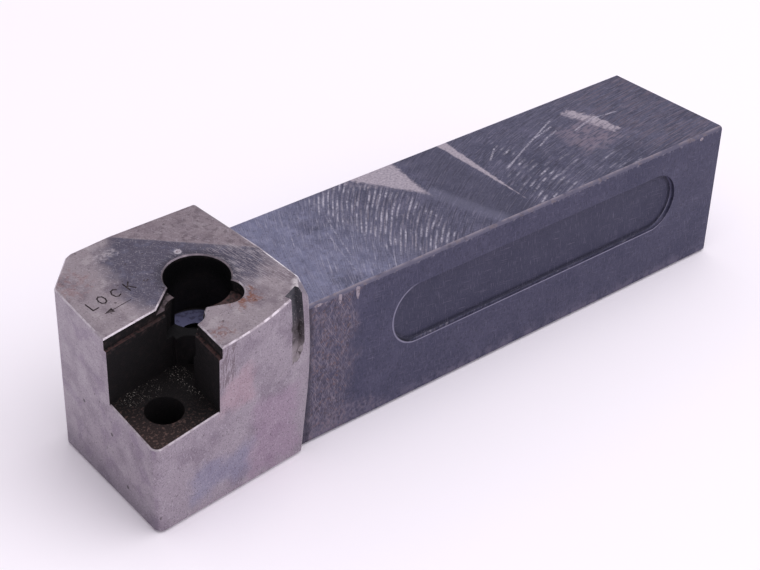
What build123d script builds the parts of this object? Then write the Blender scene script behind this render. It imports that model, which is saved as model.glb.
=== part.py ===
"""Turning tool holder: right-hand, 1 in square shank, 80 degree negative insert pocket.

One solid, machined from one bar: a square shank with a shallow obround recess in its side,
and a taller head that carries a tilted insert pocket at the nose, a clamp recess behind it
and the channel that joins the two.

Frame (mm): origin on the bottom face, on the shank's centreline, at mid length.
+X runs along the shank to the nose, +Y points to the cutting side, +Z is up.
"""
from build123d import *
from math import cos, radians, sin, sqrt, tan
import os

# --- shank ---------------------------------------------------------------------------------
SHANK = 25.4                 # square section, side
OVERALL = 127.0              # nominal length, 5 in, to the corner of the insert
EDGE = 0.5                   # bevel along the bar's edges, round its far end and its base

# --- head blank ----------------------------------------------------------------------------
NOSE_BACK = 2.0              # nominal length to the nose corner, at the base
NOSE_OFFSET = 3.6            # nose corner beyond the shank's side, at the base
HEAD_LENGTH = 29.0           # nose corner, at the base, to the head's rear face
HEAD_HEIGHT = 31.6           # level rear part of the head's top
NOSE_DROP = 3.3              # fall from there to the top at the nose corner
NOSE_RADIUS = 1.2            # rounding of the upright nose edge
APPROACH = 5.0               # angle of each cutting face from the shank's axes
FACE_LEAN = 5.0              # both cutting faces lean out as they rise
TOP_TILT = 4.0               # fall of the top towards the nose, along X and along Y
CORNER_BACK = 5.1            # nose corner, at the base, to where the back corner's bevel starts
CORNER_ANGLE = 43.0          # angle of that bevel from the shank's axis
UPRIGHT_EDGE = 0.3           # bevel along the upright edges at the back corner
REAR_ROUND = 0.8             # rounding of the rear face's edges

# --- worn flat at the rear upper corner of the cutting side -----------------------------------
FLAT_LENGTH = 9.0            # head's rear face to where the flat leaves the side's top edge
FLAT_DEPTH = 2.6             # how far it cuts in at the rear face, at the top
FLAT_DROP = 12.0             # how far it reaches down the rear edge
FLAT_BLEND = 30.0            # radius that blends the flat into the side
CORNER_WEAR = 1.2            # how far wear has taken off the upper corner of the flat

# --- insert pocket -----------------------------------------------------------------------------
INSERT_ANGLE = 80.0          # nose angle of the rhombic insert
INSERT_CIRCLE = 12.7         # inscribed circle of the insert
OVERHANG = 0.7               # insert's overhang past each cutting face
SHIM = 4.76                  # shim thickness
INSERT = 4.76                # insert thickness
LEDGE_CLEARANCE = 0.28       # ledge above the insert's top face
SEAT_TILT = 5.0              # fall of the seat towards the nose, along X and along Y
SEAT_DROP = 11.85            # fall from the head's top to the seat, at the nose corner
LEDGE_STEP = 0.6             # set-back of the walls above the ledge
SEAT_EDGE = 0.2              # bevel along the seat's outer edges
SEAT_HOLE = 5.8              # lock pin hole, diameter
SEAT_HOLE_DEPTH = 12.0

# --- clamp recess --------------------------------------------------------------------------------
BORE_BACK = 17.3             # nose corner, at the base, to the bore's centre, along the shank
BORE_IN = 13.6               # the same, across the shank
BORE = 10.0                  # diameter
BORE_DEPTH = 10.0
SCREW_HOLE = 4.6             # clamp screw hole in the bore's floor, diameter
SCREW_HOLE_OFFSET = 1.0      # its centre from the bore's, along the arm's slot
SCREW_HOLE_DEPTH = 9.0
ARM_ANGLE = 36.0             # direction of the clamp arm's slot, from +X
ARM_SLOT = 6.6               # slot width at the top
ARM_SLOT_DEPTH = 1.1
ARM_SLOT_REACH = 14.0        # length of the slot, from the bore's centre
CHANNEL = 4.7                # channel from the bore to the pocket, width
CHANNEL_REACH = 10.0         # length of the channel, from the bore's centre
CHANNEL_SHIFT = 0.5          # its centreline from the arm slot's, to the cutting side
CHANNEL_RISE = 5.5           # its floor above the seat
CHANNEL_HOLE = 5.9           # round widening of the channel, diameter
CHANNEL_HOLE_ALONG = 5.2     # the bore's centre to the widening's
RELIEF = 4.8                 # drilled relief at the pocket's inner corner, diameter
RELIEF_BACK = 11.9           # nose corner, at the base, to its centre, along the shank
RELIEF_IN = 8.3              # the same, across the shank
NOTCH = 5.6                  # side notch, width
NOTCH_X = 0.9                # notch centre from the bore's centre, back along the shank
NOTCH_Y = 5.4                # notch centre from the bore's centre, to the cutting side
NOTCH_RUN = 3.6              # length of its straight wall
NOTCH_ANGLE = -23.5          # direction of that wall, from +X
NOTCH_DEPTH = 2.1
LIP_EDGE = 0.2               # bevel round the openings in the top and along the cutting faces
LIP_START = 7.0              # head's rear face to the first of those bevels

# --- gouge in the worn flat -------------------------------------------------------------------
GOUGE_REAR = 1.5             # head's rear face to the gouge, along the flat
GOUGE_WIDTH = 2.9
GOUGE_STRAIGHT = 3.2         # the flat's low corner to where the gouge's straight sides end
GOUGE_TIP = 0.3              # the flat's low corner to its pointed lower end
GOUGE_LEAN = 0.9             # how far the point lies to the front, as a part of the width
GOUGE_DEPTH = 1.1

# --- recess in the shank's side ------------------------------------------------------------------
PANEL_START = 11.5           # far end to the recess
PANEL_LENGTH = 65.7
PANEL_WIDTH = 10.6
PANEL_HEIGHT = 15.5          # height of its centreline
PANEL_DEPTH = 0.8
PANEL_CORNER = 0.4           # rounding where its wall meets its floor

PAST = 40.0                  # cutters run this far past the solid
CLEAR = 5.0                  # short cutters stand this far above the head's top
LAP = 1.0                    # the shank and a hole run this far into what they join


def station(from_far_end):
    """X of a distance measured along the shank from its far end."""
    return from_far_end - OVERALL / 2


def tilted(angle):
    """Upward normal of a plane that falls by angle along +X and along +Y."""
    return Vector(tan(radians(angle)), tan(radians(angle)), 1).normalized()


def keep_below(solid, plane):
    """What is left of the solid on the side that the plane's normal points away from."""
    return split(solid, bisect_by=plane, keep=Keep.BOTTOM)


NOSE_BASE = Vector(station(OVERALL - NOSE_BACK), SHANK / 2 + NOSE_OFFSET, 0)
REAR_X = NOSE_BASE.X - HEAD_LENGTH
LEAN = tan(radians(FACE_LEAN))
SIDE_NORMAL = Vector(-sin(radians(APPROACH)), cos(radians(APPROACH)), -LEAN).normalized()
FRONT_NORMAL = Vector(cos(radians(APPROACH)), -sin(radians(APPROACH)), -LEAN).normalized()


def nose_at(height):
    """Point of the leaning nose edge at this height, before the edge is rounded."""
    edge = SIDE_NORMAL.cross(FRONT_NORMAL)
    return NOSE_BASE + edge * (height / edge.Z)


TOP_NORMAL = tilted(TOP_TILT)
TOP_NOSE = nose_at(HEAD_HEIGHT - NOSE_DROP)
SEAT_NORMAL = tilted(SEAT_TILT)
SEAT_CORNER = nose_at(HEAD_HEIGHT - NOSE_DROP - SEAT_DROP)


def height_on(point, normal, x, y):
    """Height at x, y of the plane through point with this normal."""
    return point.Z - (normal.X * (x - point.X) + normal.Y * (y - point.Y)) / normal.Z


def side_y(x, z):
    """Y of the cutting side's face at x and height z."""
    across = SIDE_NORMAL.X * (x - NOSE_BASE.X) + SIDE_NORMAL.Z * z
    return NOSE_BASE.Y - across / SIDE_NORMAL.Y


def shank():
    """The square bar, with the recess in its cutting side."""
    length = REAR_X + LAP - station(0)
    bar = Pos(station(length / 2), 0, SHANK / 2) * Box(length, SHANK, SHANK)
    far_end = bar.faces().sort_by(Axis.X)[0]
    bar = chamfer(bar.edges().filter_by(Axis.X) + far_end.edges(), EDGE)
    side = Plane(
        origin=(station(PANEL_START + PANEL_LENGTH / 2), SHANK / 2, PANEL_HEIGHT),
        x_dir=(1, 0, 0),
        z_dir=(0, 1, 0),
    )
    panel = extrude(side * SlotOverall(PANEL_LENGTH, PANEL_WIDTH), -PANEL_DEPTH)
    floor = panel.faces().sort_by(Axis.Y)[0]
    return bar - fillet(floor.edges(), PANEL_CORNER)


def flat_face(solid, plane):
    """The solid's face that lies in the plane and looks the plane's way."""
    faces = solid.faces().filter_by(GeomType.PLANE)
    faces = faces.filter_by(lambda face: face.normal_at().dot(plane.z_dir) > 0.9999)
    return faces.sort_by(lambda face: abs((face.center() - plane.origin).dot(plane.z_dir)))[0]


def shared_edges(one, other):
    """Edges that two faces of a solid have in common."""
    return [edge for edge in one.edges() if edge in other.edges()]


SIDE_PLANE = Plane(origin=NOSE_BASE, z_dir=SIDE_NORMAL)
FRONT_PLANE = Plane(origin=NOSE_BASE, z_dir=FRONT_NORMAL)
TOP_PLANE = Plane(origin=TOP_NOSE, z_dir=TOP_NORMAL)
REAR_PLANE = Plane(origin=(REAR_X, 0, 0), z_dir=(-1, 0, 0))
BASE_PLANE = Plane(origin=(0, 0, 0), z_dir=(0, 0, -1))
BACK_PLANE = Plane(origin=(0, -SHANK / 2, 0), z_dir=(0, -1, 0))
CORNER_PLANE = Plane(
    origin=(NOSE_BASE.X - CORNER_BACK, -SHANK / 2, 0),
    z_dir=(sin(radians(CORNER_ANGLE)), -cos(radians(CORNER_ANGLE)), 0),
)


def flat_corner():
    """Where the flat, the rear face and the top meet, before the wear."""
    z = height_on(TOP_NOSE, TOP_NORMAL, REAR_X, side_y(REAR_X, HEAD_HEIGHT))
    return Vector(REAR_X, side_y(REAR_X, z) - FLAT_DEPTH, z)


def worn_flat():
    """Plane of the flat at the rear upper corner: it faces the rear, the side and the top."""
    front_x = REAR_X + FLAT_LENGTH
    front_z = height_on(TOP_NOSE, TOP_NORMAL, front_x, side_y(front_x, HEAD_HEIGHT))
    front = Vector(front_x, side_y(front_x, front_z), front_z)
    high = flat_corner()
    low_z = high.Z - FLAT_DROP
    low = Vector(REAR_X, side_y(REAR_X, low_z), low_z)
    return Plane(origin=low, z_dir=(high - low).cross(front - low).normalized())


def worn_corner():
    """Plane of the wear at the flat's upper corner, turned equally to the three faces there."""
    normal = (worn_flat().z_dir + TOP_NORMAL - Vector(1, 0, 0)).normalized()
    return Plane(origin=flat_corner() - normal * CORNER_WEAR, z_dir=normal)


def head_blank():
    """The head before its pocket: leaning cutting faces, tilted top, bevelled back corner."""
    blank = Box(PAST, SHANK + PAST, HEAD_HEIGHT, align=(Align.MIN, Align.MIN, Align.MIN))
    blank = Pos(REAR_X, -SHANK / 2, 0) * blank
    blank = keep_below(blank, SIDE_PLANE)
    blank = keep_below(blank, FRONT_PLANE)
    nose = shared_edges(flat_face(blank, SIDE_PLANE), flat_face(blank, FRONT_PLANE))
    blank = fillet(nose, NOSE_RADIUS)
    blank = keep_below(blank, TOP_PLANE)
    blank = keep_below(blank, CORNER_PLANE)
    bevel = flat_face(blank, CORNER_PLANE)
    upright = shared_edges(bevel, flat_face(blank, FRONT_PLANE))
    upright += shared_edges(bevel, flat_face(blank, BACK_PLANE))
    return chamfer(upright, UPRIGHT_EDGE)


def worn_blank():
    """The blank with its worn flat, blended into the side and gouged, and its rounded edges."""
    flat = worn_flat()
    blank = keep_below(head_blank(), flat)
    blank = fillet(shared_edges(flat_face(blank, flat), flat_face(blank, SIDE_PLANE)), FLAT_BLEND)
    blank = keep_below(blank - gouge(), worn_corner())
    rear = flat_face(blank, REAR_PLANE)
    base = flat_face(blank, BASE_PLANE)
    blank = fillet([edge for edge in rear.edges() if edge not in base.edges()], REAR_ROUND)
    rear = flat_face(blank, REAR_PLANE)
    base = flat_face(blank, BASE_PLANE)
    return chamfer([edge for edge in base.edges() if edge not in rear.edges()], EDGE)


def wedge(wall, reach):
    """Outline of the pocket in the seat's plane: its walls meet at the inner corner."""
    half = radians(INSERT_ANGLE / 2)
    inner = wall / sin(half)
    along = reach * cos(half)
    across = reach * sin(half)
    outline = Polyline(
        (inner, 0),
        (inner - along, across),
        (inner - 2 * along, 0),
        (inner - along, -across),
        close=True,
    )
    return make_face(outline)


def seat_plane(rise=0.0):
    """Plane of the seat, raised by rise: its x axis runs from the nose corner inwards."""
    inwards = Vector(-1, -1, 0)
    inwards = inwards - SEAT_NORMAL * inwards.dot(SEAT_NORMAL)
    return Plane(origin=SEAT_CORNER + SEAT_NORMAL * rise, x_dir=inwards, z_dir=SEAT_NORMAL)


def insert_pocket():
    """Space over the seat, its wider part above the ledge, and the lock pin hole."""
    wall = INSERT_CIRCLE - OVERHANG
    ledge = SHIM + INSERT + LEDGE_CLEARANCE
    lower = extrude(seat_plane() * wedge(wall, PAST), PAST)
    upper = extrude(seat_plane(ledge) * wedge(wall + LEDGE_STEP, PAST), PAST)
    centre = (INSERT_CIRCLE / 2 - OVERHANG) / sin(radians(INSERT_ANGLE / 2))
    pin_hole = seat_plane(-SEAT_HOLE_DEPTH) * Pos(centre, 0) * Circle(SEAT_HOLE / 2)
    return lower + upper + extrude(pin_hole, SEAT_HOLE_DEPTH + LAP)


def point_on(point, normal, back, across):
    """Point of the plane through point, back and across from the nose corner at the base."""
    x = NOSE_BASE.X - back
    y = NOSE_BASE.Y - across
    return Vector(x, y, height_on(point, normal, x, y))


def arm_along(normal):
    """Direction of the clamp arm, laid into the plane with this normal."""
    arm = Vector(cos(radians(ARM_ANGLE)), sin(radians(ARM_ANGLE)), 0)
    return arm - normal * arm.dot(normal)


def bore_plane(drop=0.0):
    """Plane of the head's top at the bore, lowered by drop: its x axis is the clamp arm's."""
    centre = point_on(TOP_NOSE, TOP_NORMAL, BORE_BACK, BORE_IN)
    return Plane(origin=centre - TOP_NORMAL * drop, x_dir=arm_along(TOP_NORMAL), z_dir=TOP_NORMAL)


def clamp_recess():
    """Bore with its screw hole, the clamp arm's shallow slot and the side notch."""
    bore = extrude(bore_plane(BORE_DEPTH) * Circle(BORE / 2), BORE_DEPTH + CLEAR)
    screw = Pos(SCREW_HOLE_OFFSET, 0) * Circle(SCREW_HOLE / 2)
    screw = extrude(bore_plane(BORE_DEPTH + SCREW_HOLE_DEPTH) * screw, SCREW_HOLE_DEPTH + LAP)
    slot = Rectangle(ARM_SLOT_REACH, ARM_SLOT, align=(Align.MIN, Align.CENTER))
    slot = extrude(bore_plane(ARM_SLOT_DEPTH) * slot, ARM_SLOT_DEPTH + CLEAR)
    return bore + screw + slot + notch()


def notch():
    """Obround notch beside the bore, its straight wall running into the arm's slot."""
    run = Pos(NOTCH_RUN / 2, 0) * SlotCenterToCenter(NOTCH_RUN, NOTCH)
    run = Pos(-NOTCH_X, NOTCH_Y) * Rot(0, 0, NOTCH_ANGLE) * run
    return extrude(bore_plane(NOTCH_DEPTH) * Rot(0, 0, -ARM_ANGLE) * run, NOTCH_DEPTH + CLEAR)


def channel():
    """Way from the bore to the pocket, and the relief drilled at the pocket's inner corner."""
    origin = point_on(SEAT_CORNER, SEAT_NORMAL, BORE_BACK, BORE_IN) + SEAT_NORMAL * CHANNEL_RISE
    floor = Plane(origin=origin, x_dir=arm_along(SEAT_NORMAL), z_dir=SEAT_NORMAL)
    way = Rectangle(CHANNEL_REACH, CHANNEL, align=(Align.MIN, Align.CENTER))
    way = extrude(floor * Pos(0, CHANNEL_SHIFT) * way, PAST)
    way += extrude(floor * Pos(CHANNEL_HOLE_ALONG, 0) * Circle(CHANNEL_HOLE / 2), PAST)
    centre = point_on(SEAT_CORNER, SEAT_NORMAL, RELIEF_BACK, RELIEF_IN)
    return way + extrude(Plane(origin=centre, z_dir=SEAT_NORMAL) * Circle(RELIEF / 2), PAST)


def gouge():
    """Groove with a pointed lower end, cut into the worn flat from the top down."""
    flat = worn_flat()
    plane = Plane(origin=flat.origin, x_dir=Vector(0, 0, 1).cross(flat.z_dir), z_dir=flat.z_dir)
    rear = -GOUGE_REAR
    front = rear - GOUGE_WIDTH
    outline = Polyline(
        (rear, PAST),
        (rear, GOUGE_STRAIGHT),
        (rear - GOUGE_WIDTH * GOUGE_LEAN, GOUGE_TIP),
        (front, GOUGE_STRAIGHT),
        (front, PAST),
        close=True,
    )
    return extrude(plane * make_face(outline), GOUGE_DEPTH, both=True)


def lips(body):
    """Edges of the top along the cutting faces and round its openings, clear of the worn rear."""
    top = flat_face(body, TOP_PLANE)
    level = flat_face(body, Plane(origin=(0, 0, HEAD_HEIGHT), z_dir=(0, 0, 1)))
    back = flat_face(body, BACK_PLANE)
    others = level.edges() + back.edges()
    edges = [edge for edge in top.edges() if edge not in others]
    return [edge for edge in edges if edge.center().X > REAR_X + LIP_START]


def seat_rim(body):
    """The seat's edges along the two cutting faces and round the nose."""
    seat = flat_face(body, seat_plane())
    rim = shared_edges(seat, flat_face(body, SIDE_PLANE))
    rim += shared_edges(seat, flat_face(body, FRONT_PLANE))
    return rim + seat.edges().filter_by(GeomType.ELLIPSE)


def holder():
    """The whole tool holder as one solid."""
    head = worn_blank() - insert_pocket() - clamp_recess() - channel()
    head = chamfer(lips(head), LIP_EDGE)
    head = chamfer(seat_rim(head), SEAT_EDGE)
    return head + shank()


if __name__ == "__main__":
    os.makedirs("parts", exist_ok=True)
    export_step(holder(), "parts/holder_body.step")
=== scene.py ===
"""Looks of the turning tool holder: worn black oxide shank, ground and stained steel head.

The CAD body keeps its shape. Its own copy gets the stamped mark, small nicks, a thread in the
clamp screw hole and one node material for each kind of surface. Masks are laid out in
millimetres of the part's frame: +X to the nose, +Y to the cutting side, +Z up.
"""

import math
import random

import bmesh
import bpy
from mathutils import Matrix, Vector


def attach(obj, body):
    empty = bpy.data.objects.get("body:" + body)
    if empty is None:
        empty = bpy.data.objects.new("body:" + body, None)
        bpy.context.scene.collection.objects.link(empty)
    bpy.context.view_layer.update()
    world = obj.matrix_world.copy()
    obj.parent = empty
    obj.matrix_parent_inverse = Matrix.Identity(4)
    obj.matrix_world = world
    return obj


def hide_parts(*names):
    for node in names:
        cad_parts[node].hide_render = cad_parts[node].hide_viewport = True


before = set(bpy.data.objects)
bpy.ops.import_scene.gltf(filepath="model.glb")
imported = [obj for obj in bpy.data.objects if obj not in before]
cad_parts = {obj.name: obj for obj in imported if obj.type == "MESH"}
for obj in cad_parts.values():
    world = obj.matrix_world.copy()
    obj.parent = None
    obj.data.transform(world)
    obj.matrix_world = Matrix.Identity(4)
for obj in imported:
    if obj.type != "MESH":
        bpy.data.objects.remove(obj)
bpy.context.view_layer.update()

MM = 0.001

# camera fitted to the photo, in the frame's metres
CAMERA_AT = Vector((0.190934, 0.195943, 0.182892))
CAMERA_RIGHT = Vector((-0.74444708, 0.66610604, 0.04583979))
CAMERA_DOWN = Vector((0.32709212, 0.42369089, -0.84468738))
CAMERA_AHEAD = Vector((-0.58207327, -0.61383122, -0.53329348))
SENSOR = 36                  # mm wide
LENS = 93.467                # mm
CLIP_START = 0.01            # m

# the CAD body's main planes and holes, mm
REAR_X = 32.5                # head's rear face
CREASE = 36.0                # x + y where the head's tilted top turns level
TOP_POINT = Vector((44.2, 2.7, 30.8417))
TOP_NORMAL = Vector((0.0695874, 0.0695874, 0.9951458))
SEAT_POINT = Vector((56.9149, 11.7149, 17.5293))
SEAT_NORMAL = Vector((0.0868266, 0.0868266, 0.9924325))
BORE_AT = (44.2, 2.7)
SCREW_AT = (45.7, 3.8)
PANEL_AT = (-18.95, 15.5)    # x and z of the middle of the shank's recess
PANEL_STRAIGHT = 27.55       # from there to the centre of its round end
PANEL_RADIUS = 5.36          # its lip, out from that centre
NOTCH_AT = (44.9, 7.4)       # middle of the notch beside the bore
DENT_AT = (43.0, -3.5)       # small knock on the head's top

# the shank top's scratches follow curved paths, steeper towards the head
FLOW_AT = 5.0                # X where they run at 45 degrees, mm
FLOW_REACH = 29.0            # mm over which their slope grows by a factor of e

SEED_STEP = (7.3, 3.1, 5.7)  # how far each seed moves the noise along x, y and z
ROW_STEP = (7.31, 3.77)      # the same for each row of hatching
SCRATCH_FADE = (0.65, 0.2)   # parts of a scratch's width where it is gone and where it is full
STREAK_FADE = 0.07           # how far over its cut the noise makes a full streak


# --- node materials ------------------------------------------------------------------------
def linear(value):
    """Linear light for an sRGB number from 0 to 255."""
    value /= 255
    return value / 12.92 if value <= 0.04045 else ((value + 0.055) / 1.055) ** 2.4


def rgb(red, green, blue):
    return (linear(red), linear(green), linear(blue), 1.0)


def box(a0, b0, a1, b1):
    """Corners of an upright rectangle, for a patch."""
    return [(a0, b0), (a1, b0), (a1, b1), (a0, b1)]


class Field:
    """A number that varies over the surface, as the output of a node."""

    def __init__(self, paint, socket):
        self.paint = paint
        self.socket = socket

    def __add__(self, other):
        return self.paint.math("ADD", self, other)

    def __sub__(self, other):
        return self.paint.math("SUBTRACT", self, other)

    def __rsub__(self, other):
        return self.paint.math("SUBTRACT", other, self)

    def __mul__(self, other):
        return self.paint.math("MULTIPLY", self, other)

    __radd__ = __add__
    __rmul__ = __mul__

    def __abs__(self):
        return self.paint.math("ABSOLUTE", self)

    def least(self, other):
        return self.paint.math("MINIMUM", self, other)

    def most(self, other):
        return self.paint.math("MAXIMUM", self, other)

    def floor(self):
        return self.paint.math("FLOOR", self)

    def fraction(self):
        return self.paint.math("FRACT", self)

    def step(self, low, high):
        """0 at low and 1 at high, smooth between; low may be the larger."""
        node = self.paint.nodes.new("ShaderNodeMapRange")
        node.interpolation_type = "SMOOTHSTEP"
        self.paint.wire(self, node.inputs["Value"])
        node.inputs["From Min"].default_value = low
        node.inputs["From Max"].default_value = high
        return Field(self.paint, node.outputs["Result"])


class Paint:
    """One node material, with masks in millimetres of the part's frame."""

    def __init__(self, name, colour):
        self.material = bpy.data.materials.new(name)
        self.material.use_nodes = True
        self.tree = self.material.node_tree
        self.nodes = self.tree.nodes
        self.shader = self.nodes["Principled BSDF"]
        self.colour = colour
        place = self.nodes.new("ShaderNodeTexCoord")
        scaled = self.nodes.new("ShaderNodeVectorMath")
        scaled.operation = "SCALE"
        scaled.inputs["Scale"].default_value = 1 / MM
        self.tree.links.new(place.outputs["Object"], scaled.inputs[0])
        self.place = scaled.outputs[0]
        self.x, self.y, self.z = self.axes(self.place)
        self.nx, self.ny, self.nz = self.axes(place.outputs["Normal"])

    def axes(self, vector):
        node = self.nodes.new("ShaderNodeSeparateXYZ")
        self.tree.links.new(vector, node.inputs[0])
        return [Field(self, socket) for socket in node.outputs]

    def wire(self, value, target):
        if isinstance(value, Field):
            self.tree.links.new(value.socket, target)
        else:
            target.default_value = value

    def math(self, operation, *values):
        node = self.nodes.new("ShaderNodeMath")
        node.operation = operation
        for value, target in zip(values, node.inputs):
            self.wire(value, target)
        return Field(self, node.outputs[0])

    def noise(self, size, detail=2.0, along=1.0, turn=0.0, axis="Z", seed=0.0):
        """Noise from 0 to 1 with spots of size mm, drawn out to along times that, turned."""
        turned = self.nodes.new("ShaderNodeVectorRotate")
        turned.rotation_type = axis + "_AXIS"
        turned.inputs["Angle"].default_value = math.radians(turn)
        self.tree.links.new(self.place, turned.inputs["Vector"])
        drawn = self.nodes.new("ShaderNodeVectorMath")
        drawn.operation = "MULTIPLY_ADD"
        self.tree.links.new(turned.outputs[0], drawn.inputs[0])
        long_way = (1, 1 / along, 1) if axis == "X" else (1 / along, 1, 1)
        drawn.inputs[1].default_value = [part / size for part in long_way]
        drawn.inputs[2].default_value = [seed * step for step in SEED_STEP]
        return self.texture(drawn.outputs[0], detail)

    def texture(self, vector, detail):
        node = self.nodes.new("ShaderNodeTexNoise")
        node.inputs["Scale"].default_value = 1.0
        node.inputs["Detail"].default_value = detail
        self.tree.links.new(vector, node.inputs["Vector"])
        return Field(self, node.outputs[0])

    def streaks(self, width, length, turn, cut, axis="Z", seed=0.0):
        """Separate thin marks of this width and length, fewer as cut rises from 0.5."""
        drawn = self.noise(width, 1.0, length / width, turn, axis, seed)
        return drawn.step(cut, cut + STREAK_FADE)

    def flow(self):
        """Distance across the curved paths of the shank top's scratches, along Y, in mm."""
        bend = self.math("EXPONENT", (self.x - FLOW_AT) * (1 / FLOW_REACH))
        return self.y - bend * FLOW_REACH

    def laid(self, along, across, detail=1.0):
        """Noise laid out over two fields."""
        node = self.nodes.new("ShaderNodeCombineXYZ")
        self.wire(along, node.inputs[0])
        self.wire(across, node.inputs[1])
        return self.texture(node.outputs[0], detail)

    def brushed(self, width, length, cut, seed):
        """Thin marks that follow the shank top's scratches."""
        along = self.x * (1 / length) + seed * SEED_STEP[0]
        across = self.flow() * (1 / width) + seed * SEED_STEP[1]
        return self.laid(along, across).step(cut, cut + 0.08)

    def hatch(self, spacing, width, length, cut, seed):
        """Rows of scratches along the same paths, each broken at its own places."""
        row = (self.flow() + self.noise(5.0, 1.0, seed=seed) * 0.7) * (1 / spacing)
        number = row.floor()
        share = width / spacing
        line = abs(row.fraction() - 0.5).step(share, 0.0)
        along = self.x * (1 / length) + number * ROW_STEP[0]
        gate = self.laid(along, number * ROW_STEP[1] + seed, 2.0)
        worn = self.noise(0.5, 2.0, seed=seed + 0.5).step(0.28, 0.62)
        apart = self.noise(3.2, 2.0, seed=seed + 0.8).step(0.36, 0.56)
        return line * gate.step(cut, cut + 0.22) * (0.2 + 0.8 * worn) * (0.3 + 0.7 * apart)

    def patch(self, a, b, corners, soft=0.3, ragged=0.0, grain=1.0, seed=0.0):
        """1 inside a convex outline of (a, b) corners in mm, with a ragged edge."""
        pairs = list(zip(corners, corners[1:] + corners[:1]))
        turn = 1 if sum(p[0] * q[1] - q[0] * p[1] for p, q in pairs) > 0 else -1
        inside = None
        for (a0, b0), (a1, b1) in pairs:
            length = math.hypot(a1 - a0, b1 - b0) * turn
            to_a, to_b = (b0 - b1) / length, (a1 - a0) / length
            edge = a * to_a + b * to_b - (a0 * to_a + b0 * to_b)
            inside = edge if inside is None else inside.least(edge)
        if ragged:
            inside = inside + (self.noise(grain, 3.0, seed=seed) - 0.5) * (2 * ragged)
        return inside.step(-soft, soft)

    def stroke(self, a, b, start, end, width):
        """1 along a straight scratch."""
        length = math.dist(start, end)
        to_a, to_b = (end[0] - start[0]) / length, (end[1] - start[1]) / length
        along = (a - start[0]) * to_a + (b - start[1]) * to_b
        across = abs((b - start[1]) * to_a - (a - start[0]) * to_b)
        away = across.most(abs(along - length / 2) - length / 2)
        gone, full = SCRATCH_FADE
        return away.step(width * gone, width * full)

    def strokes(self, a, b, points, width):
        """1 along a scratch through these points."""
        marks = [self.stroke(a, b, p, q, width) for p, q in zip(points, points[1:])]
        mark = marks[0]
        for other in marks[1:]:
            mark = mark.most(other)
        return mark

    def away(self, a, b, centre):
        """Distance from a point, in mm."""
        square = (a - centre[0]) * (a - centre[0]) + (b - centre[1]) * (b - centre[1])
        return self.math("SQRT", square)

    def above(self, point, normal):
        """Height over a plane, in mm."""
        lift = self.x * normal.x + self.y * normal.y + self.z * normal.z
        return lift - point.dot(normal)

    def layer(self, colour, mask):
        """Lay a colour over what is there, as far as mask says."""
        node = self.nodes.new("ShaderNodeMix")
        node.data_type = "RGBA"
        self.wire(mask, node.inputs["Factor"])
        under, over = node.inputs[6], node.inputs[7]
        if isinstance(self.colour, tuple):
            under.default_value = self.colour
        else:
            self.tree.links.new(self.colour, under)
        over.default_value = colour
        self.colour = node.outputs[2]

    def finish(self, metallic, roughness, relief, depth):
        """Wire the shader: relief is the bump's field, and depth its height in mm."""
        self.shader.inputs["Metallic"].default_value = metallic
        self.wire(roughness, self.shader.inputs["Roughness"])
        self.tree.links.new(self.colour, self.shader.inputs["Base Color"])
        bump = self.nodes.new("ShaderNodeBump")
        bump.inputs["Strength"].default_value = 1.0
        bump.inputs["Distance"].default_value = depth * MM
        self.wire(relief, bump.inputs["Height"])
        self.tree.links.new(bump.outputs[0], self.shader.inputs["Normal"])
        return self.material


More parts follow.
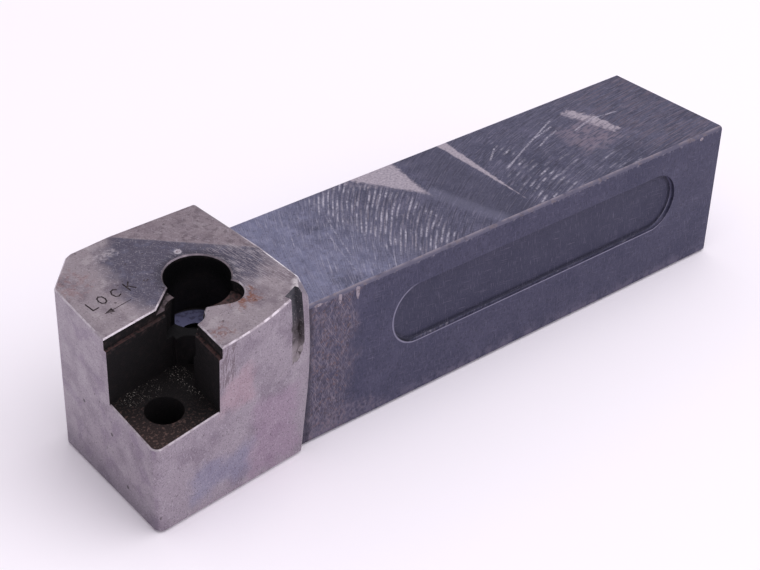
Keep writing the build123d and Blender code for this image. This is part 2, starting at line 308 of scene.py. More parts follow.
def shank_paint():
    """Black oxide, worn through in patches and scratched by clamping."""
    p = Paint("shank_oxide", rgb(70, 69, 92))
    x, y, z = p.x, p.y, p.z
    top = p.nz.step(0.6, 0.9)
    side = p.ny.step(0.6, 0.9)
    # painted sheen: the shank's top is painted lighter than its sides, and lighter still towards
    # the head
    p.layer(rgb(84, 82, 106), top * 0.9)
    p.layer(rgb(122, 123, 152), top * x.step(0, 26) * 0.7)
    p.layer(rgb(60, 60, 84), p.noise(9.0, 3.0, seed=1).step(0.5, 0.66) * 0.6)
    p.layer(rgb(106, 102, 128), p.noise(5.0, 3.0, seed=2).step(0.52, 0.7) * (0.12 + 0.22 * top))
    grain = p.noise(0.35, 2.0, seed=3)
    p.layer(rgb(140, 138, 165), grain.step(0.56, 0.75) * (0.1 + 0.18 * top))
    p.layer(rgb(40, 38, 55), grain.step(0.46, 0.28) * 0.45)

    pale = top * x.step(6, 20) * p.noise(1.3, 5.0, seed=40).step(0.44, 0.7)
    p.layer(rgb(138, 138, 168), pale * 0.5)
    dark = top * x.step(8, 22) * p.noise(1.8, 5.0, seed=41).step(0.54, 0.7)
    p.layer(rgb(84, 82, 108), dark * 0.45)
    p.layer(rgb(168, 164, 184), top * x.step(4, 16) * p.brushed(0.2, 1.6, 0.56, 42) * 0.4)

    # the top: marks along the scratches' paths, worn patches, and the fields of hatching
    scratch = rgb(190, 184, 200)
    p.layer(rgb(112, 98, 112), top * x.step(-40, -52) * p.brushed(0.4, 6.0, 0.5, 33) * 0.45)
    p.layer(rgb(52, 49, 68), top * p.brushed(0.35, 4.0, 0.55, 27) * x.step(22, 0) * 0.5)
    p.layer(rgb(132, 126, 148), top * p.brushed(0.25, 3.0, 0.57, 13) * 0.4)
    dusk = p.patch(x, y, [(-17, 13), (-17, -13), (-9.5, -13), (-7.5, 2), (-10.5, 13)],
                   1.2, 2.0, 2.4, 34)
    p.layer(rgb(64, 62, 84), top * dusk * 0.4)
    p.layer(rgb(120, 118, 142), top * p.stroke(x, y, (-9.6, 11.0), (-6.4, -0.5), 3.4) * 0.35)
    near = p.patch(x, y, [(-28, 13), (-26, -9), (-18.8, -9), (-17.9, 8), (-15, 13)],
                   0.9, 2.0, 2.0, 11)
    far = [(-3, -4), (3.4, -12.8), (12.5, -11), (10.5, 6), (7.5, 13), (-0.5, 13), (-1.8, 4)]
    far = p.patch(x, y, far, 0.9, 2.2, 2.0, 12)
    behind = p.patch(x, y, [(-43, 13), (-40, 3), (-27, 2), (-26, 13)], 1.5, 3.0, 2.4, 35)
    ahead = p.patch(x, y, [(9, 13), (8, -12), (21, -12), (25, 13)], 1.5, 3.0, 2.4, 36)
    p.layer(scratch, top * near * p.hatch(1.25, 0.36, 2.6, 0.4, 1.3) * 0.95)
    p.layer(scratch, top * far * p.hatch(1.15, 0.36, 2.4, 0.38, 4.7) * 0.9)
    p.layer(rgb(158, 148, 160), top * far * p.hatch(0.8, 0.24, 3.4, 0.42, 8.2) * 0.6)
    p.layer(scratch, top * behind * p.hatch(1.2, 0.3, 5.0, 0.46, 2.9) * 0.6)
    p.layer(scratch, top * ahead * p.hatch(1.7, 0.3, 2.8, 0.46, 6.1) * 0.6)
    worn = rgb(190, 178, 190)
    grit = p.noise(0.4, 3.0, seed=5)
    serration = p.hatch(1.3, 0.75, 3.0, 0.3, 9.4) * 1.1
    wedge = p.patch(x, y, [(-5.6, -1.2), (-7.8, -13.2), (2.4, -13.2)], 0.5, 0.7, 0.5, 4)
    beside = p.patch(x, y, [(-5.4, -2.0), (-2.0, -13.2), (5.2, -13.2)], 0.5, 0.8, 0.8, 37)
    p.layer(worn, top * wedge.most(beside * serration) * (0.1 + 1.2 * grit))
    sliver = p.patch(x, y, [(-17.5, 7.6), (-20.0, -13.2), (-17.9, -13.2)], 0.2, 0.35, 0.7, 6)
    p.layer(worn, top * sliver * (0.15 + 1.1 * grit))
    band = p.patch(x, y, [(-48.0, 2.2), (-46.4, 2.4), (-43.6, -7.4), (-45.4, -8.2), (-47.6, -3.6)],
                   0.5, 1.3, 1.0, 7)
    p.layer(worn, top * band * (0.25 + 0.9 * grit) * (0.5 + 0.5 * p.brushed(0.5, 2.0, 0.42, 8)))
    haze = p.patch(x, y, [(-46, 4.5), (-45.5, -3.5), (-37.5, -3.5), (-37, 5)], 1.3, 2.4, 2.0, 9)
    p.layer(rgb(140, 126, 142), top * haze * p.brushed(0.35, 2.2, 0.44, 10) * 0.5)
    p.layer(rgb(134, 118, 134), top * haze * p.noise(1.6, 4.0, seed=39).step(0.4, 0.7) * 0.4)
    for points in (
        [(-39.9, -7.0), (-36.0, -5.4), (-31.6, -3.6), (-27.0, -1.6), (-22.4, 0.4)],
        [(-38.2, -3.8), (-35.0, -2.9), (-32.0, -1.6)],
        [(-52.0, -2.6), (-46.0, -3.2), (-41.0, -1.9)],
        [(-38.5, -5.4), (-33.5, -4.2)],
        [(-25.0, -5.6), (-21.8, -3.2)],
    ):
        p.layer(scratch, top * p.strokes(x, y, points, 0.4) * grit.step(0.3, 0.7) * 0.75)
    for points in (
        [(15.4, -1.6), (17.2, 3.0), (19.2, 9.6)],
        [(12.2, -6.0), (14.4, -1.0), (16.8, 5.4)],
    ):
        p.layer(scratch, top * p.strokes(x, y, points, 0.3) * grit.step(0.35, 0.7) * 0.4)

    # the side: painted shade just inside the recess's rim and a painted highlight along its lip,
    # the rubbed end beside the head, and scattered rubs
    reach = (abs(x - PANEL_AT[0]) - PANEL_STRAIGHT).most(0.0)
    up = z - PANEL_AT[1]
    rim = p.math("SQRT", reach * reach + up * up)
    edge = abs(rim - PANEL_RADIUS).step(0.2, 0.06)
    lit = z.step(17.0, 12.5).most(x.step(8.0, 12.0)) * edge
    low_or_far = z.step(15.5, 12.0).most(x.step(-44.0, -50.0))
    shade = rim.step(4.3, 4.8) * rim.step(5.3, 5.2) * low_or_far
    p.layer(rgb(34, 33, 48), shade * y.step(0.0, 5.0) * 0.85)
    p.layer(rgb(168, 164, 186), side * lit * (0.3 + 0.4 * p.noise(1.5, 2.0, seed=15)))
    mark = abs(p.away(x, z, (-45.4, 16.3)) - 3.7).step(0.3, 0.05)
    p.layer(rgb(40, 40, 56), side * mark * 0.35)
    floor_of_panel = rim.step(5.3, 4.9)
    p.layer(rgb(54, 54, 74), side * floor_of_panel * 0.6)
    rubbed = p.patch(x, z, [(23.5, -1), (34, -1), (34, 27), (21.5, 27)], 2.2, 4.5, 3.4, 16)
    p.layer(rgb(102, 94, 110), side * rubbed * p.noise(2.0, 5.0, seed=17).step(0.32, 0.7) * 0.7)
    for turn, seed in ((58, 28), (-62, 29), (84, 30)):
        rubs = p.streaks(0.14, 1.8, turn, 0.58, "Y", seed)
        p.layer(rgb(146, 134, 146), side * rubbed * rubs * 0.4)
    p.layer(rgb(60, 54, 68), side * rubbed * p.noise(0.7, 4.0, seed=31).step(0.5, 0.66) * 0.55)
    p.layer(rgb(120, 94, 92), side * rubbed * p.noise(0.5, 3.0, seed=32).step(0.56, 0.68) * 0.5)
    strip = p.patch(x, z, [(15, 0.8), (33, 0.6), (33, 4.4), (18, 3.6)], 0.6, 1.4, 1.6, 18)
    p.layer(rgb(132, 120, 134), side * strip * p.noise(0.6, 4.0, seed=19).step(0.35, 0.7) * 0.5)
    # painted shade: the side darkened where it meets the head
    p.layer(rgb(50, 46, 60), side * (x + p.noise(1.5, 3.0, seed=38) * 1.6).step(30.6, 31.8) * 0.7)
    foot = z.step(3.2, 0.6) * p.noise(1.2, 4.0, seed=20).step(0.42, 0.6)
    p.layer(rgb(108, 102, 122), side * foot * 0.6)
    p.layer(rgb(120, 116, 136), side * p.streaks(0.1, 2.0, 84, 0.62, "Y", 21) * 0.4)
    p.layer(rgb(130, 124, 144), side * p.streaks(0.1, 4.0, 8, 0.68, "Y", 22) * 0.35)
    upper = side * z.step(24.3, 25.2) * p.noise(0.8, 4.0, seed=23).step(0.5, 0.7)
    p.layer(rgb(186, 178, 190), upper * 0.45)

    marks = p.streaks(0.14, 8.0, -40, 0.62, seed=24)
    relief = grain * 0.5 + marks * -0.6 + p.noise(1.4, 3.0, seed=25)
    p.shader.inputs["Specular IOR Level"].default_value = 0.35
    roughness = 0.42 + 0.2 * p.noise(2.5, 3.0, seed=26)
    return p.finish(0.55, roughness, relief, 0.03)


def head_top_paint():
    """Ground steel with a painted dark reflection round the bore, rusted in spots and finely
    scratched.
    """
    p = Paint("head_top_steel", rgb(150, 138, 146))
    x, y = p.x, p.y
    p.layer(rgb(118, 105, 116), p.noise(3.5, 5.0, seed=1).step(0.45, 0.66) * 0.75)
    p.layer(rgb(176, 166, 172), p.noise(2.4, 3.0, seed=2).step(0.54, 0.7) * 0.5)
    level = (x + y).step(CREASE + 0.2, CREASE - 0.4)
    p.layer(rgb(128, 112, 122), level * 0.5)
    p.layer(rgb(96, 82, 92), level * p.noise(1.0, 4.0, seed=3).step(0.48, 0.66) * 0.6)
    # painted reflection: a dark bluish sheen painted over the tilted top round the bore, stopping
    # at the crease, broken by lighter spots
    sheen_outline = [(31.0, 4.0), (47.5, -14.0), (53.0, -9.0), (55.4, -1.5), (54.6, 4.6), (51.0, 7.6),
             (41.0, 8.4), (36.0, 8.0)]
    oxide = p.patch(x, y, sheen_outline, 2.0, 2.2, 2.6, 4) * (1 - level)
    oxide = oxide * (x + y).step(CREASE - 0.2, CREASE + 0.4)
    p.layer(rgb(76, 72, 92), oxide * 0.9)
    p.layer(rgb(108, 106, 128), oxide * p.noise(1.3, 4.0, seed=5).step(0.5, 0.7) * 0.5)
    p.layer(rgb(46, 43, 56), p.away(x, y, BORE_AT).step(7.0, 5.1) * 0.6)
    by_notch = p.patch(x, y, box(40, 9, 44.3, 12.7), 0.8, 1.6, 1.0, 6)
    p.layer(rgb(126, 84, 74), by_notch * p.noise(0.6, 4.0, seed=7).step(0.38, 0.6) * 0.95)
    by_pocket = p.patch(x, y, box(48, 13.7, 50.7, 16.3), 0.6, 1.4, 0.8, 8)
    p.layer(rgb(126, 88, 84), by_pocket * p.noise(0.5, 3.0, seed=9).step(0.45, 0.6) * 0.7)
    red = p.patch(x, y, box(56.7, -9.7, 62, -3.7), 1.0, 2.0, 1.6, 10)
    p.layer(rgb(140, 112, 116), red * p.noise(0.8, 3.0, seed=11).step(0.45, 0.62) * 0.6)
    pale = p.patch(x, y, box(50, -10.3, 53.7, -8.7), 0.5, 1.0, 0.8, 12)
    p.layer(rgb(196, 186, 194), pale * p.noise(0.5, 4.0, seed=20).step(0.35, 0.65) * 0.55)
    p.layer(rgb(212, 204, 214), p.away(x, y, DENT_AT).step(0.75, 0.3) * 0.85)
    for turn, seed in ((25, 13), (-55, 14), (70, 15)):
        p.layer(rgb(186, 178, 190), p.streaks(0.08, 3.0, turn, 0.66, seed=seed) * 0.4)
    rear = p.patch(x, y, [(31, 1), (39, -1), (41, 9), (31, 13)], 1.0, 2.0, 1.6, 22)
    p.layer(rgb(184, 174, 182), rear * p.streaks(0.14, 3.0, 82, 0.54, seed=21) * 0.5)
    # worn rear corner by the gouge, also a painted highlight: painted near white
    corner = p.patch(x, y, [(31, 10.2), (35.6, 13.6), (37.4, 17), (31, 17)], 0.5, 0.9, 0.9, 23)
    p.layer(rgb(222, 214, 220), corner * (0.3 + 0.6 * p.noise(0.5, 3.0, seed=24)))
    grain = p.noise(0.25, 2.0, seed=16)
    p.layer(rgb(88, 78, 88), grain.step(0.42, 0.3) * 0.5)
    p.layer(rgb(196, 188, 196), grain.step(0.6, 0.74) * 0.35)
    p.layer(rgb(60, 48, 52), p.noise(0.7, 1.0, seed=17).step(0.72, 0.78) * 0.7)
    scratches = p.streaks(0.1, 4.0, 25, 0.65, seed=13)
    relief = grain * 0.5 + p.noise(1.2, 3.0, seed=18) + scratches * -0.6
    return p.finish(0.75, 0.36 + 0.22 * p.noise(1.8, 3.0, seed=19), relief, 0.02)


def head_side_paint():
    """Ground steel with a satin grain and faint heat colours."""
    p = Paint("head_side_steel", rgb(158, 148, 158))
    x, y, z = p.x, p.y, p.z
    side = p.ny.step(0.6, 0.9)
    front = p.nx.step(0.6, 0.9)
    p.layer(rgb(128, 116, 130), p.noise(4.5, 5.0, seed=1).step(0.44, 0.66) * 0.65)
    p.layer(rgb(176, 168, 176), p.noise(3.0, 3.0, seed=2).step(0.52, 0.7) * 0.4)
    pink = p.patch(x, z, box(44.7, 17, 50.7, 23.3), 1.4, 2.4, 2.4, 3)
    p.layer(rgb(178, 152, 162), side * pink * 0.6)
    violet = p.patch(x, z, [(34, 1), (43.7, 1), (43.7, 15), (35, 15)], 1.6, 3.0, 3.0, 4)
    p.layer(rgb(156, 132, 154), side * violet * 0.55)
    blue = p.patch(x, z, box(43.7, 3, 55.3, 8.5), 1.6, 3.0, 3.0, 5)
    p.layer(rgb(132, 134, 162), side * blue * 0.5)
    drips = p.patch(x, z, box(48.7, 22, 51.5, 29), 0.5, 1.0, 1.0, 6)
    p.layer(rgb(112, 98, 106), side * drips * p.streaks(0.3, 3.0, 90, 0.45, "Y", 7) * 0.7)
    p.layer(rgb(126, 110, 132), front * p.noise(3.4, 3.0, seed=8).step(0.5, 0.66) * 0.5)
    p.layer(rgb(98, 90, 106), front * z.step(7.0, 1.0) * 0.45)
    for at in ((-2.3, 13.2), (5.3, 11.7), (8.3, 3.8)):
        p.layer(rgb(52, 44, 50), front * p.away(y, z, at).step(0.42, 0.2) * 0.85)
    p.layer(rgb(196, 190, 200), p.streaks(0.12, 3.0, 75, 0.66, "Y", 9) * side * 0.5)
    p.layer(rgb(96, 86, 96), p.streaks(0.14, 3.0, 20, 0.67, "X", 10) * front * 0.5)
    grain = p.noise(0.22, 2.0, seed=11)
    p.layer(rgb(96, 85, 97), grain.step(0.45, 0.3) * 0.6)
    p.layer(rgb(206, 200, 208), grain.step(0.58, 0.74) * 0.4)
    p.layer(rgb(74, 62, 68), p.noise(0.6, 1.0, seed=12).step(0.73, 0.78) * 0.6)
    relief = grain * 0.6 + p.noise(1.0, 3.0, seed=13)
    return p.finish(0.75, 0.4 + 0.2 * p.noise(1.6, 3.0, seed=14), relief, 0.02)


def pocket_paint():
    """Oily dark steel inside the openings, with rust on the ledges and bright grit; painted shade
    deep inside and a painted highlight on the bore's floor.
    """
    p = Paint("pocket_grime", rgb(32, 30, 32))
    x, y = p.x, p.y
    up = p.nz.step(0.8, 0.95)
    p.layer(rgb(46, 39, 40), p.noise(0.8, 4.0, seed=1).step(0.5, 0.7) * 0.5)
    over_seat = p.above(SEAT_POINT, SEAT_NORMAL)
    seat = up * over_seat.step(0.5, 0.2)
    p.layer(rgb(22, 19, 21), seat * 0.8)
    p.layer(rgb(58, 45, 45), seat * (x + y).step(67, 79) * 0.7)
    flecks = seat * p.noise(0.4, 4.0, seed=2).step(0.52, 0.68)
    p.layer(rgb(112, 88, 84), flecks * (x + y).step(62, 76) * 0.6)
    gritty = p.patch(x, y, [(54, 5), (61.5, 5), (60, 8.6), (54.5, 8.2)], 0.5, 1.0, 0.8, 3)
    gritty = gritty.most(
        p.patch(x, y, [(49, 4.5), (52, 4.5), (51.6, 13), (49.5, 13)], 0.5, 1.0, 0.8, 9))
    clusters = p.noise(1.1, 2.0, seed=10).step(0.46, 0.6)
    grit = p.noise(0.18, 1.0, seed=4).step(0.645, 0.69)
    p.layer(rgb(212, 204, 198), seat * gritty * (0.2 + clusters) * grit)
    p.layer(rgb(96, 84, 82), grit * up * 0.25)
    ledge = abs(over_seat - 10.0).step(1.2, 0.5)
    p.layer(rgb(72, 59, 60), ledge * p.noise(0.6, 4.0, seed=5).step(0.5, 0.66) * 0.6)
    depth = p.above(TOP_POINT, TOP_NORMAL)
    # painted highlight: the bore's floor painted a light blue grey, broken by darker spots
    shelf_highlight = up * depth.step(-9.3, -9.8) * p.away(x, y, BORE_AT).step(5.6, 5.2)
    shelf_highlight = shelf_highlight * (x + y).step(53.0, 52.0)
    # painted shade: upward floors 3 to 7 mm over the seat painted near black
    p.layer(rgb(16, 15, 18), up * over_seat.step(3.0, 4.0) * over_seat.step(7.0, 6.5) * 0.85)
    p.layer(rgb(126, 126, 164), shelf_highlight * 0.9)
    p.layer(rgb(70, 68, 92), shelf_highlight * p.noise(0.8, 3.0, seed=6).step(0.45, 0.62) * 0.6)
    slot = up * depth.step(-1.4, -1.0)
    p.layer(rgb(112, 98, 104), slot * p.noise(0.8, 3.0, seed=11).step(0.3, 0.55) * 0.85)
    notch = up * depth.step(-2.5, -2.2) * depth.step(-1.6, -1.9)
    p.layer(rgb(84, 60, 60), notch * p.noise(0.6, 4.0, seed=12).step(0.36, 0.6) * 0.8)
    # painted shade: the bore's wall painted near black below its rim
    wall = p.away(x, y, BORE_AT).step(5.5, 5.15) * (1 - up)
    p.layer(rgb(8, 8, 10), wall * depth.step(-0.2, -0.8) * 0.95)
    p.shader.inputs["Specular IOR Level"].default_value = 0.18
    relief = p.noise(0.3, 3.0, seed=7) + grit * 0.6
    return p.finish(0.4, 0.45 + 0.25 * p.noise(0.8, 2.0, seed=8), relief, 0.05)


def gouge_paint():
    """Torn metal, brown with old cutting oil."""
    p = Paint("gouge_torn", rgb(98, 90, 96))
    z = p.z
    oily = p.noise(0.7, 4.0, along=2.0, turn=90, axis="Y", seed=1).step(0.44, 0.64)
    p.layer(rgb(46, 38, 38), oily * 0.7)
    p.layer(rgb(76, 82, 92), z.step(24, 27) * 0.5)
    p.layer(rgb(160, 150, 156), z.step(22.6, 21.0) * 0.85)
    p.layer(rgb(176, 168, 172), p.noise(0.3, 3.0, seed=2).step(0.58, 0.68) * 0.5)
    relief = p.noise(0.5, 4.0, along=2.5, turn=90, axis="Y", seed=3)
    return p.finish(0.6, 0.5 + 0.2 * p.noise(0.6, 2.0, seed=4), relief, 0.12)


def edge_paint():
    """Edges rubbed bright by handling, with painted highlights along them."""
    p = Paint("edge_wear_and_highlight", rgb(200, 190, 200))
    x, y, z = p.x, p.y, p.z
    by_bore = p.away(x, y, BORE_AT).step(6.4, 5.6).most(p.away(x, y, NOTCH_AT).step(4.6, 4.0))
    p.layer(rgb(92, 82, 92), by_bore * z.step(26, 27) * 0.9)
    p.layer(rgb(150, 140, 148), z.step(20, 19) * 0.5)
    behind = x.step(33.6, 33.2)
    # painted highlight: near white along the top of the head's rear fillet, dimmer lower down
    p.layer(rgb(244, 238, 246), behind * y.step(3.0, 6.0) * z.step(29.6, 30.3))
    p.layer(rgb(96, 86, 94), behind * y.step(1.0, -3.0) * 0.8)
    p.layer(rgb(168, 160, 168), behind * z.step(30.2, 29.0) * 0.7)
    p.layer(rgb(140, 128, 138), p.noise(1.4, 4.0, seed=1).step(0.46, 0.62) * 0.75)
    p.layer(rgb(120, 106, 108), p.noise(0.5, 3.0, seed=2).step(0.6, 0.7) * 0.5)
    return p.finish(0.8, 0.3 + 0.2 * p.noise(0.8, 2.0, seed=3), p.noise(0.4, 3.0, seed=4), 0.03)


def bar_edge_paint():
    """The bar's bevels: oxide rubbed through in places."""
    p = Paint("bar_edge", rgb(88, 84, 104))
    rubbed = (p.y * 0.5 + p.z).step(31.3, 31.62) * p.noise(3.0, 4.0, seed=1).step(0.36, 0.56)
    p.layer(rgb(166, 154, 162), rubbed * 0.7)
    p.layer(rgb(124, 108, 108), p.noise(1.2, 4.0, seed=2).step(0.54, 0.7) * 0.4)
    p.layer(rgb(58, 54, 70), p.noise(1.6, 4.0, seed=3).step(0.54, 0.7) * 0.5)
    return p.finish(0.6, 0.4 + 0.2 * p.noise(1.0, 2.0, seed=4), p.noise(0.5, 3.0, seed=5), 0.03)


def nick_paint():
    """Steel laid bare in small knocks, dulled since."""
    p = Paint("nick_steel", rgb(158, 148, 158))
    p.layer(rgb(112, 100, 108), p.noise(0.5, 3.0, seed=1).step(0.44, 0.6) * 0.7)
    return p.finish(0.7, 0.4 + 0.2 * p.noise(0.4, 2.0, seed=2), p.noise(0.3, 3.0, seed=3), 0.03)


def stamp_paint():
    """Floor and walls of the stamped mark, filled with grime."""
    p = Paint("stamp_grime", rgb(82, 71, 77))
    p.layer(rgb(86, 76, 84), p.noise(0.3, 2.0, seed=1).step(0.5, 0.7) * 0.5)
    return p.finish(0.3, 0.5 + 0.2 * p.noise(0.3, 2.0, seed=2), p.noise(0.2, 2.0, seed=3), 0.02)


# --- cutters -------------------------------------------------------------------------------
STROKE = 0.25                # width of a stamped stroke, mm
STAMP_DEPTH = 0.22
STAMP_FLOOR = 0.32           # half width of a stroke at its floor, as a part of its width
STAMP_MOUTH = 0.75           # the same at the top of its cutter
STAMP_CLEAR = 0.4            # how far its cutter stands above the head's top
ARROW_WIDTH = 0.6            # width of the arrow's shaft, as a part of a stroke's
ARROW_SINK = 0.5             # its depth, as a part of the stamp's
ARROW = ((54.9, 1.36), (58.6, 1.68))
ARROW_HEAD = ((58.2, 1.15), (59.7, 1.7), (58.2, 2.2))
LETTER_TALL = 1.75
LETTER_WIDE = 1.15
LETTER_PLACES = (            # letter, x, y and lean in degrees
    ("L", 60.1, -0.8, 4),
    ("O", 58.2, -1.1, 0),
    ("C", 55.8, -1.2, -3),
    ("K", 53.3, -1.3, 2),
)
LETTERS = {                  # strokes through points of a unit square
    "L": [[(0.1, 1), (0.1, 0), (0.9, 0)]],
    "O": [[(0.5, 1), (0.85, 0.85), (1, 0.5), (0.85, 0.15), (0.5, 0), (0.15, 0.15), (0, 0.5),
           (0.15, 0.85), (0.5, 1)]],
    "C": [[(0.95, 0.85), (0.6, 1), (0.2, 0.88), (0, 0.5), (0.2, 0.12), (0.6, 0), (0.95, 0.15)]],
    "K": [[(0.1, 1), (0.1, 0)], [(0.9, 1), (0.1, 0.42)], [(0.35, 0.6), (0.95, 0)]],
}

# balls that nick the edges of the bar, as place, size and squash
EDGE_NICKS = (
    ((21.6, 12.95, 25.3), 0.6, (0.9, 0.75, 5.0)),
    ((25.1, 12.95, 25.3), 0.55, (0.8, 0.8, 4.4)),
    ((29.4, 13.0, 25.3), 0.6, (2.4, 0.8, 1.6)),
    ((-57.6, 12.98, 24.6), 0.5, (1.3, 0.8, 1.0)),
)
SMALL_NICKS = 9              # more of them, scattered along the bar's upper edge
NICKED_FROM, NICKED_TO = -58, 28         # x they lie between

# balls that tear the gouge's walls, each row from the top down
REAR_BITES = 12
REAR_BITE_DROP = 0.66        # from one to the next
FRONT_BITES = 3
FRONT_BITE_DROP = 2.4
LOW_BITES = ((35.2, 21.1), (35.9, 20.1))    # x and z of those that broaden its lower end


def top_height(x, y):
    """Height of the head's tilted top at x, y."""
    slope = TOP_NORMAL.x * (x - TOP_POINT.x) + TOP_NORMAL.y * (y - TOP_POINT.y)
    return TOP_POINT.z - slope / TOP_NORMAL.z


def add_bar(mesh, start, end, width, depth):
    """A wedge-walled bar that cuts a stamped stroke from start to end into the head's top."""
    along = Vector((end[0] - start[0], end[1] - start[1])).normalized()
    across = Vector((-along.y, along.x))
    corners = []
    for level, half in ((-depth, width * STAMP_FLOOR), (STAMP_CLEAR, width * STAMP_MOUTH)):
        for end_of, way in ((start, -1), (end, 1)):
            for hand in (-way, way):
                spot = Vector(end_of) + along * (way * half) + across * (hand * half)
                corners.append(Vector((spot.x, spot.y, top_height(*spot) + level)) * MM)
    points = [mesh.verts.new(corner) for corner in corners]
    bmesh.ops.convex_hull(mesh, input=points)


def cut(piece, mesh, name, paint):
    """Take the shape in mesh out of the piece; the cut faces get the paint."""
    data = bpy.data.meshes.new(name)
    mesh.to_mesh(data)
    mesh.free()
    data.materials.append(paint)
    cutter = bpy.data.objects.new(name, data)
    bpy.context.scene.collection.objects.link(cutter)
    step = piece.modifiers.new(name, "BOOLEAN")
    step.operation = "DIFFERENCE"
    step.solver = "EXACT"
    step.use_self = True
    step.material_mode = "TRANSFER"
    step.object = cutter
    bpy.context.view_layer.objects.active = piece
    piece.select_set(True)
    bpy.ops.object.modifier_apply(modifier=name)
    bpy.data.objects.remove(cutter)
    bpy.data.meshes.remove(data)


def stamp_shape():
    """The generic word LOCK and the arrow that shows which way the clamp tightens."""
    mesh = bmesh.new()
    for letter, at_x, at_y, lean in LETTER_PLACES:
        turn = math.radians(lean)
        for line in LETTERS[letter]:
            spots = []
            for u, v in line:
                right, up = (u - 0.5) * LETTER_WIDE, (v - 0.5) * LETTER_TALL
                right, up = (right * math.cos(turn) - up * math.sin(turn),
                             right * math.sin(turn) + up * math.cos(turn))
                spots.append((at_x - right, at_y - up))
            for start, end in zip(spots, spots[1:]):
                add_bar(mesh, start, end, STROKE, STAMP_DEPTH)
    for start, end in zip(ARROW, ARROW[1:]):
        add_bar(mesh, start, end, STROKE * ARROW_WIDTH, STAMP_DEPTH * ARROW_SINK)
    head = [mesh.verts.new(Vector((a, b, top_height(a, b) + level)) * MM)
            for level in (-STAMP_DEPTH, STAMP_CLEAR) for a, b in ARROW_HEAD]
    bmesh.ops.convex_hull(mesh, input=head)
    return mesh


def add_ball(mesh, at, size, squash, fine=2):
    """A ball of radius size mm, squashed along each axis; fine is its subdivisions."""
    shape = Matrix.Diagonal((*[size * MM * part for part in squash], 1))
    bmesh.ops.create_icosphere(mesh, subdivisions=fine, radius=1.0,
                               matrix=Matrix.Translation(Vector(at) * MM) @ shape)


def nick_shape():
    """A dent on the head's top and nicks along the edges that get knocked."""
    mesh = bmesh.new()
    add_ball(mesh, (*DENT_AT, top_height(*DENT_AT) + 0.36), 0.5, (1.2, 0.9, 1.0))
    for at, size, squash in EDGE_NICKS:
        add_ball(mesh, at, size, squash)
    draw = random.Random(31)
    for _ in range(SMALL_NICKS):
        at = (draw.uniform(NICKED_FROM, NICKED_TO), 12.95 + draw.uniform(0, 0.1), 25.5)
        add_ball(mesh, at, draw.uniform(0.35, 0.55), (draw.uniform(0.8, 1.8), 1, 1))
    return mesh


def tear_shape():
    """The ragged walls and chips of the gouge at the head's rear upper corner."""
    mesh = bmesh.new()
    draw = random.Random(12)
    for step in range(REAR_BITES):
        at = (34.9 - 0.03 * step + draw.uniform(-0.06, 0.06), 15.5, 30.6 - step * REAR_BITE_DROP)
        add_ball(mesh, at, 0.8, (draw.uniform(0.6, 0.7), 1.0, draw.uniform(1.3, 1.8)), 1)
    for step in range(FRONT_BITES):
        z = 28.0 - step * FRONT_BITE_DROP + draw.uniform(-0.4, 0.4)
        at = (37.2 - 0.25 * step, 16.1, z)
        add_ball(mesh, at, 0.5, (draw.uniform(0.6, 1.0), 0.8, 1.8), 1)
    for x, z in LOW_BITES:
        add_ball(mesh, (x, 15.5, z), 0.95, (0.95, 0.55, 1.25), 1)
    return mesh


JOIN = 2e-6                  # m; points closer than this are one


def steel_copy(node):
    """The CAD body's mesh as a piece of its own, with its split points joined again."""
    data = node.data.copy()
    data.name = "holder_dressed"
    piece = bpy.data.objects.new("holder_dressed", data)
    bpy.context.scene.collection.objects.link(piece)
    mesh = bmesh.new()
    mesh.from_mesh(data)
    bmesh.ops.remove_doubles(mesh, verts=mesh.verts, dist=JOIN)
    mesh.to_mesh(data)
    mesh.free()
    if data.has_custom_normals:
        data.attributes.remove(data.attributes["custom_normal"])
    return piece


def head_hull(data):
    """Outer planes of the head, as (point, normal) pairs in mm."""
    mesh = bmesh.new()
    points = [mesh.verts.new(v.co / MM) for v in data.vertices if v.co.x / MM > REAR_X - TOUCH]
    hull = bmesh.ops.convex_hull(mesh, input=points)
    faces = [face for face in hull["geom"] if isinstance(face, bmesh.types.BMFace)]
    planes = {}
    for face in faces:
        key = tuple(round(part, 3) for part in face.normal)
        planes.setdefault(key, (face.calc_center_median().copy(), face.normal.copy()))
    mesh.free()
    return list(planes.values())


SHANK, BAR_EDGE, HEAD_TOP, HEAD_SIDE, POCKET, GOUGE, EDGE = range(7)
TOUCH = 0.01                 # mm; closer than this to a plane counts as on it
ROUNDED = (0.3, 0.97)        # cosines between a rounded edge's faces and the plane it borders
SMOOTH_BELOW = 24            # degrees; edges sharper than this stay sharp


def surface_of(at, normal, planes):
    """Which paint a face takes, from its centre in mm and its normal."""
    if at.x < REAR_X - TOUCH:
        straight = max(abs(part) for part in normal)
        in_panel = at.y > 11 and 9 < at.z < 22 and at.x < 20
        return SHANK if straight > 0.95 or in_panel else BAR_EDGE
    below_top = (TOP_POINT - at).dot(TOP_NORMAL)
    to_top = normal.dot(TOP_NORMAL)
    over_seat = (at - SEAT_POINT).dot(SEAT_NORMAL)
    to_seat = normal.dot(SEAT_NORMAL)
    if TOUCH < below_top < 0.2 and ROUNDED[0] < to_top < ROUNDED[1]:
        return EDGE
    if abs(over_seat) < 0.25 and ROUNDED[0] < to_seat < ROUNDED[1] and at.x + at.y > 64:
        return EDGE
    if at.x < 33.3 and at.z > 26.0 and -0.97 < normal.x < -0.2:
        return EDGE
    outer = any(abs((at - point).dot(way)) < 0.05 and normal.dot(way) > 0.9
                for point, way in planes)
    if outer:
        return HEAD_TOP if to_top > 0.9 else HEAD_SIDE
    if at.x < 41 and at.y > 12 and at.z > 15:
        return GOUGE
    return POCKET


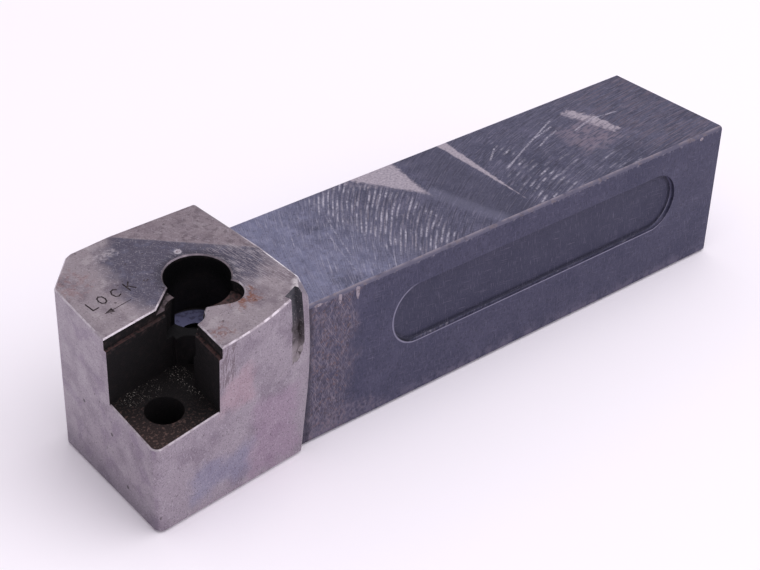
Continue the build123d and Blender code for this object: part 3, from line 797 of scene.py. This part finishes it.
def dress(piece):
    """Assign the paints, and cut the stamp, the nicks and the gouge's torn walls."""
    data = piece.data
    data.materials.clear()
    stamp, bar_edge = stamp_paint(), bar_edge_paint()
    paints = [shank_paint(), bar_edge, head_top_paint(), head_side_paint(), pocket_paint(),
              gouge_paint(), edge_paint(), stamp]
    for paint in paints:
        data.materials.append(paint)
    planes = head_hull(data)
    for face in data.polygons:
        face.material_index = surface_of(face.center / MM, face.normal, planes)
    cut(piece, stamp_shape(), "stamp_cut", stamp)
    cut(piece, nick_shape(), "nick_cut", nick_paint())
    cut(piece, tear_shape(), "tear_cut", paints[GOUGE])
    data = piece.data
    for face in data.polygons:
        face.use_smooth = True
    data.set_sharp_from_angle(angle=math.radians(SMOOTH_BELOW))


THREAD_PITCH = 0.8
THREAD_TURNS = 9
THREAD_STEPS = 40            # corners in each turn
THREAD_START = 10.4          # below the head's top
THREAD_RIDGE = ((2.36, 0.3), (2.02, 0.0), (2.36, -0.3))    # its section, as radius and rise


def thread_piece():
    """The clamp screw's thread: a ridge wound down the wall of its hole."""
    side = Vector((1, 0, 0)).cross(TOP_NORMAL).normalized()
    ahead = side.cross(TOP_NORMAL).normalized()
    start = Vector((SCREW_AT[0], SCREW_AT[1], top_height(*SCREW_AT)))
    start -= TOP_NORMAL * THREAD_START
    mesh = bmesh.new()
    rings = []
    for number in range(THREAD_TURNS * THREAD_STEPS + 1):
        angle = math.tau * number / THREAD_STEPS
        out = side * math.cos(angle) + ahead * math.sin(angle)
        at = start - TOP_NORMAL * (THREAD_PITCH * number / THREAD_STEPS)
        rings.append([mesh.verts.new((at + out * radius + TOP_NORMAL * rise) * MM)
                      for radius, rise in THREAD_RIDGE])
    for one, two in zip(rings, rings[1:]):
        for k in range(3):
            mesh.faces.new((one[k], one[(k + 1) % 3], two[(k + 1) % 3], two[k]))
    mesh.faces.new(rings[0][::-1])
    mesh.faces.new(rings[-1])
    bmesh.ops.recalc_face_normals(mesh, faces=mesh.faces)
    data = bpy.data.meshes.new("clamp_thread")
    mesh.to_mesh(data)
    mesh.free()
    piece = bpy.data.objects.new("clamp_thread", data)
    bpy.context.scene.collection.objects.link(piece)
    return piece


# --- stage ---------------------------------------------------------------------------------
FLOOR_HALF = 2.0             # m
FLOOR_COLOUR = rgb(250, 244, 252)
SKY_COLOUR = (0.985, 0.97, 1.0, 1)
SKY_STRENGTH = 0.72
KEY_AT = (-0.20, 0.30, 0.80)
KEY_SIZE = 1.2
KEY_POWER = 5.2
KEY_COLOUR = (1.0, 0.985, 1.0)


def add_camera():
    data = bpy.data.cameras.new("camera")
    data.sensor_width = SENSOR
    data.lens = LENS
    data.clip_start = CLIP_START
    camera = bpy.data.objects.new("camera", data)
    bpy.context.scene.collection.objects.link(camera)
    turn = Matrix((CAMERA_RIGHT, -CAMERA_DOWN, -CAMERA_AHEAD)).transposed().to_4x4()
    camera.matrix_world = Matrix.Translation(CAMERA_AT) @ turn
    bpy.context.scene.camera = camera


def add_lamp(name, at, size, power, colour):
    data = bpy.data.lights.new(name, "AREA")
    data.size = size
    data.energy = power
    data.color = colour
    lamp = bpy.data.objects.new(name, data)
    bpy.context.scene.collection.objects.link(lamp)
    lamp.location = at
    lamp.rotation_euler = (-Vector(at)).to_track_quat("-Z", "Y").to_euler()


def add_floor():
    data = bpy.data.meshes.new("floor")
    half = FLOOR_HALF
    data.from_pydata([(-half, -half, 0), (half, -half, 0), (half, half, 0), (-half, half, 0)],
                     [], [(0, 1, 2, 3)])
    floor = bpy.data.objects.new("floor", data)
    bpy.context.scene.collection.objects.link(floor)
    paint = bpy.data.materials.new("floor_card")
    paint.use_nodes = True
    shader = paint.node_tree.nodes["Principled BSDF"]
    shader.inputs["Base Color"].default_value = FLOOR_COLOUR
    shader.inputs["Roughness"].default_value = 0.9
    shader.inputs["Specular IOR Level"].default_value = 0.1
    data.materials.append(paint)


def add_world():
    world = bpy.data.worlds.new("world")
    bpy.context.scene.world = world
    world.use_nodes = True
    back = world.node_tree.nodes["Background"]
    back.inputs["Color"].default_value = SKY_COLOUR
    back.inputs["Strength"].default_value = SKY_STRENGTH


bpy.context.scene.view_settings.view_transform = "Standard"
add_camera()
add_floor()
add_world()
add_lamp("key", KEY_AT, KEY_SIZE, KEY_POWER, KEY_COLOUR)

holder = steel_copy(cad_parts["holder_body"])
dress(holder)
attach(holder, "root")
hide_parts("holder_body")

thread = thread_piece()
thread.data.materials.append(holder.data.materials[POCKET])
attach(thread, "root")
